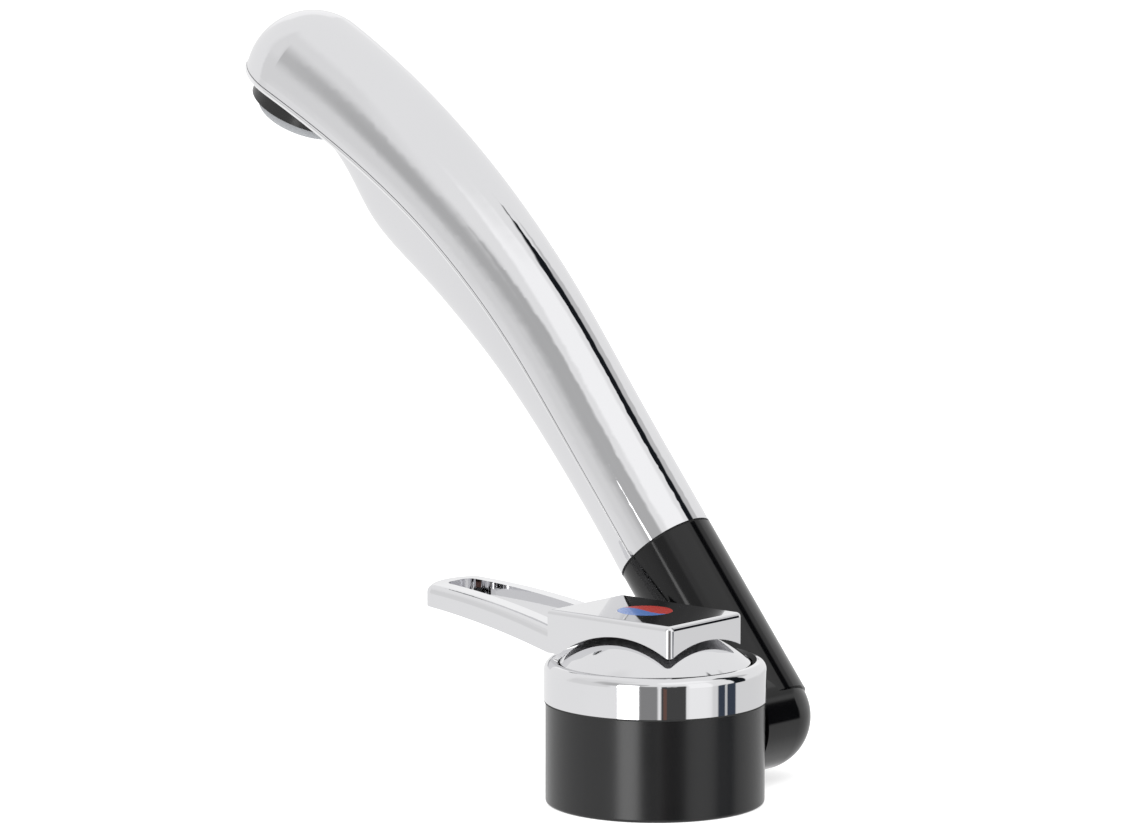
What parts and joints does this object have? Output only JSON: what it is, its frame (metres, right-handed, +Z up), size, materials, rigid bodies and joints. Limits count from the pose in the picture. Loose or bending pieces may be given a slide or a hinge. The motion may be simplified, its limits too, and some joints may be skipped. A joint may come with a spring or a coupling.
{
  "type": "mixer tap",
  "caption": "Single-lever mixer tap with a round base, a domed cap and a curved spout on a sideways hinge that folds down beside the lever.",
  "frame": {"origin": "centre of the round base in the worktop plane, on the foot face of the valve body", "axes": "+Z up, the lever and the raised spout reach towards -Y, the hinged arm stands on the -X side of the base"},
  "size_m": [0.0876, 0.2004, 0.1894],
  "materials": {
    "chrome": "polished",
    "satin_black": "satin black paint",
    "gloss_black": "gloss black paint",
    "seal_rubber": "matte",
    "cast_brass": "cast and machined",
    "cartridge_plastic": "moulded",
    "ceramic_white": "lapped ceramic",
    "steel_pin": "turned",
    "bearing_plastic": "moulded",
    "marker_red": "gloss",
    "marker_blue": "gloss",
    "aerator_black": "satin gloss",
    "aerator_grey": "matte"
  },
  "bodies": {
    "base": {"base_body": "satin_black", "base_seal": "seal_rubber", "trim_ring": "chrome", "valve_body": "cast_brass", "retaining_nut": "cast_brass", "cartridge_housing": "cartridge_plastic", "cartridge_base": "cartridge_plastic", "cartridge_seals": "seal_rubber", "fixed_ceramic_disc": "ceramic_white", "hinge_bush": "bearing_plastic", "hinge_washer": "bearing_plastic", "hinge_lock_screw": "steel_pin"},
    "turret": {"dome_cap": "chrome", "cartridge_rotor": "cartridge_plastic", "pivot_pin": "steel_pin"},
    "disc": {"moving_ceramic_disc": "ceramic_white", "disc_carrier": "cartridge_plastic"},
    "lever": {"lever": "chrome", "lever_stem": "steel_pin", "lever_screw": "steel_pin", "marker_hot": "marker_red", "marker_cold": "marker_blue"},
    "spout": {"arm_elbow": "gloss_black", "hinge_spigot": "cast_brass", "spigot_o_rings": "seal_rubber", "joint_gasket": "seal_rubber", "spout_plug": "bearing_plastic", "spout_upper_shell": "chrome", "spout_lower_shell": "chrome", "water_tube": "bearing_plastic", "nozzle_holder": "bearing_plastic", "aerator_housing": "aerator_black", "aerator_ring": "aerator_grey", "aerator_insert": "bearing_plastic", "aerator_seal": "seal_rubber"}
  },
  "joints": [
    {"name": "spout_fold", "type": "hinge", "parent": "base", "child": "spout", "pos_m": [-0.0289, 0, 0.016], "axis": [1, 0, 0], "range_deg": [0, 44]},
    {"name": "lever_turn", "type": "hinge", "parent": "base", "child": "turret", "pos_m": [0, 0, 0.0235], "axis": [0, 0, 1], "range_deg": [-15, 15]},
    {"name": "lever_tilt", "type": "hinge", "parent": "turret", "child": "lever", "pos_m": [0, 0, 0.0235], "axis": [-1, 0, 0], "range_deg": [0, 12]},
    {"name": "disc_slide", "type": "slide", "parent": "turret", "child": "disc", "axis": [0, -1, 0], "range_m": [0, 0.00135]}
  ],
  "couplings": [
    {"joint": "disc_slide", "follows": "lever_tilt", "m_per_rad": 0.0063}
  ]
}
